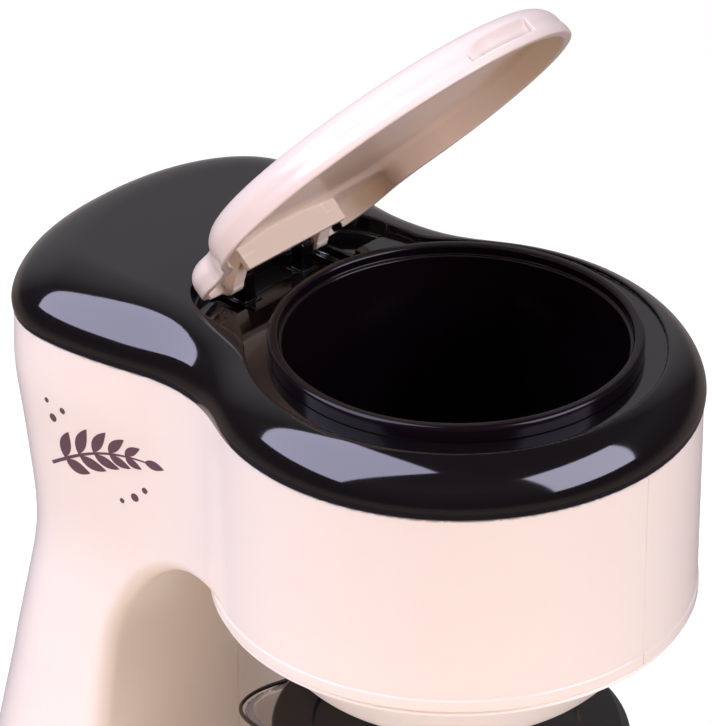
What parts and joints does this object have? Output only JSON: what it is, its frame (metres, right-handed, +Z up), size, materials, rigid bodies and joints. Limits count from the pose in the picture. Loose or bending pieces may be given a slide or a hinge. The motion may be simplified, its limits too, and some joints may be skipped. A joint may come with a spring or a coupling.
{
  "type": "toy coffee maker",
  "caption": "Pretend-play coffee maker for a play kitchen: round head with a hinged water-tank lid, waisted column, base with a plate, and a lift-out carafe with a lid.",
  "frame": {"origin": "on the resting face, under the axis of the water tank and the carafe", "axes": "+Z up, -Y to the front where the carafe goes in, +X to the right seen from the front"},
  "size_m": [0.1256, 0.2097, 0.3044],
  "materials": {
    "cream": "smooth gloss",
    "gloss_black": "high gloss",
    "tank_black": "satin",
    "smoke": "clear gloss, smoke tint",
    "steel": "plain",
    "grey_plastic": "fine matt",
    "hose": "soft",
    "foot": "matt",
    "cell": "printed sleeve",
    "contact": "bright",
    "board": "board"
  },
  "bodies": {
    "machine": {"left_housing": "cream", "right_housing": "cream", "top_cover": "gloss_black", "hinge_pins": "steel", "water_tank": "tank_black", "drip_bowl": "cream", "outlet_nozzle": "tank_black", "pump_housing": "grey_plastic", "pump_motor": "steel", "suction_hose": "hose", "outlet_hose": "hose", "button_switch": "grey_plastic", "warming_plate": "tank_black", "base_plate": "cream", "rubber_feet": "foot", "base_screws": "steel", "battery_box": "grey_plastic", "batteries": "cell", "battery_contacts": "contact", "battery_door": "cream", "battery_door_screw": "steel", "speaker": "grey_plastic", "circuit_board": "board", "board_parts": "grey_plastic", "power_switch_body": "grey_plastic", "housing_screws": "steel"},
    "lid": {"tank_lid": "cream"},
    "carafe": {"carafe_body": "smoke", "carafe_rim": "gloss_black", "carafe_handle": "gloss_black"},
    "carafe_lid": {"carafe_lid": "gloss_black"},
    "button": {"dispense_button": "cream"},
    "switch_knob": {"power_switch_knob": "tank_black"},
    "impeller": {"pump_impeller": "grey_plastic"}
  },
  "joints": [
    {"name": "lid_hinge", "type": "hinge", "parent": "machine", "child": "lid", "pos_m": [0, 0.059, 0.2194], "axis": [-1, 0, 0], "range_deg": [-48.3, 15]},
    {"name": "carafe_slide", "type": "slide", "parent": "machine", "child": "carafe", "axis": [0, -1, 0], "range_m": [0, 0.13]},
    {"name": "carafe_lid_turn", "type": "hinge", "parent": "carafe", "child": "carafe_lid", "pos_m": [-0.0012, 0.0011, 0.11], "axis": [0, 0, 1], "range_deg": [0, 35]},
    {"name": "button_press", "type": "slide", "parent": "machine", "child": "button", "axis": [-0.809, 0.5878, 0], "range_m": [0, 0.0015], "stiffness_N_per_m": 300, "springref_m": -0.0008},
    {"name": "power_slide", "type": "slide", "parent": "machine", "child": "switch_knob", "axis": [1, 0, 0], "range_m": [0, 0.0024]},
    {"name": "impeller_spin", "type": "hinge", "parent": "machine", "child": "impeller", "pos_m": [-0.02, 0, 0.15], "axis": [0, 0, 1], "continuous": true}
  ]
}
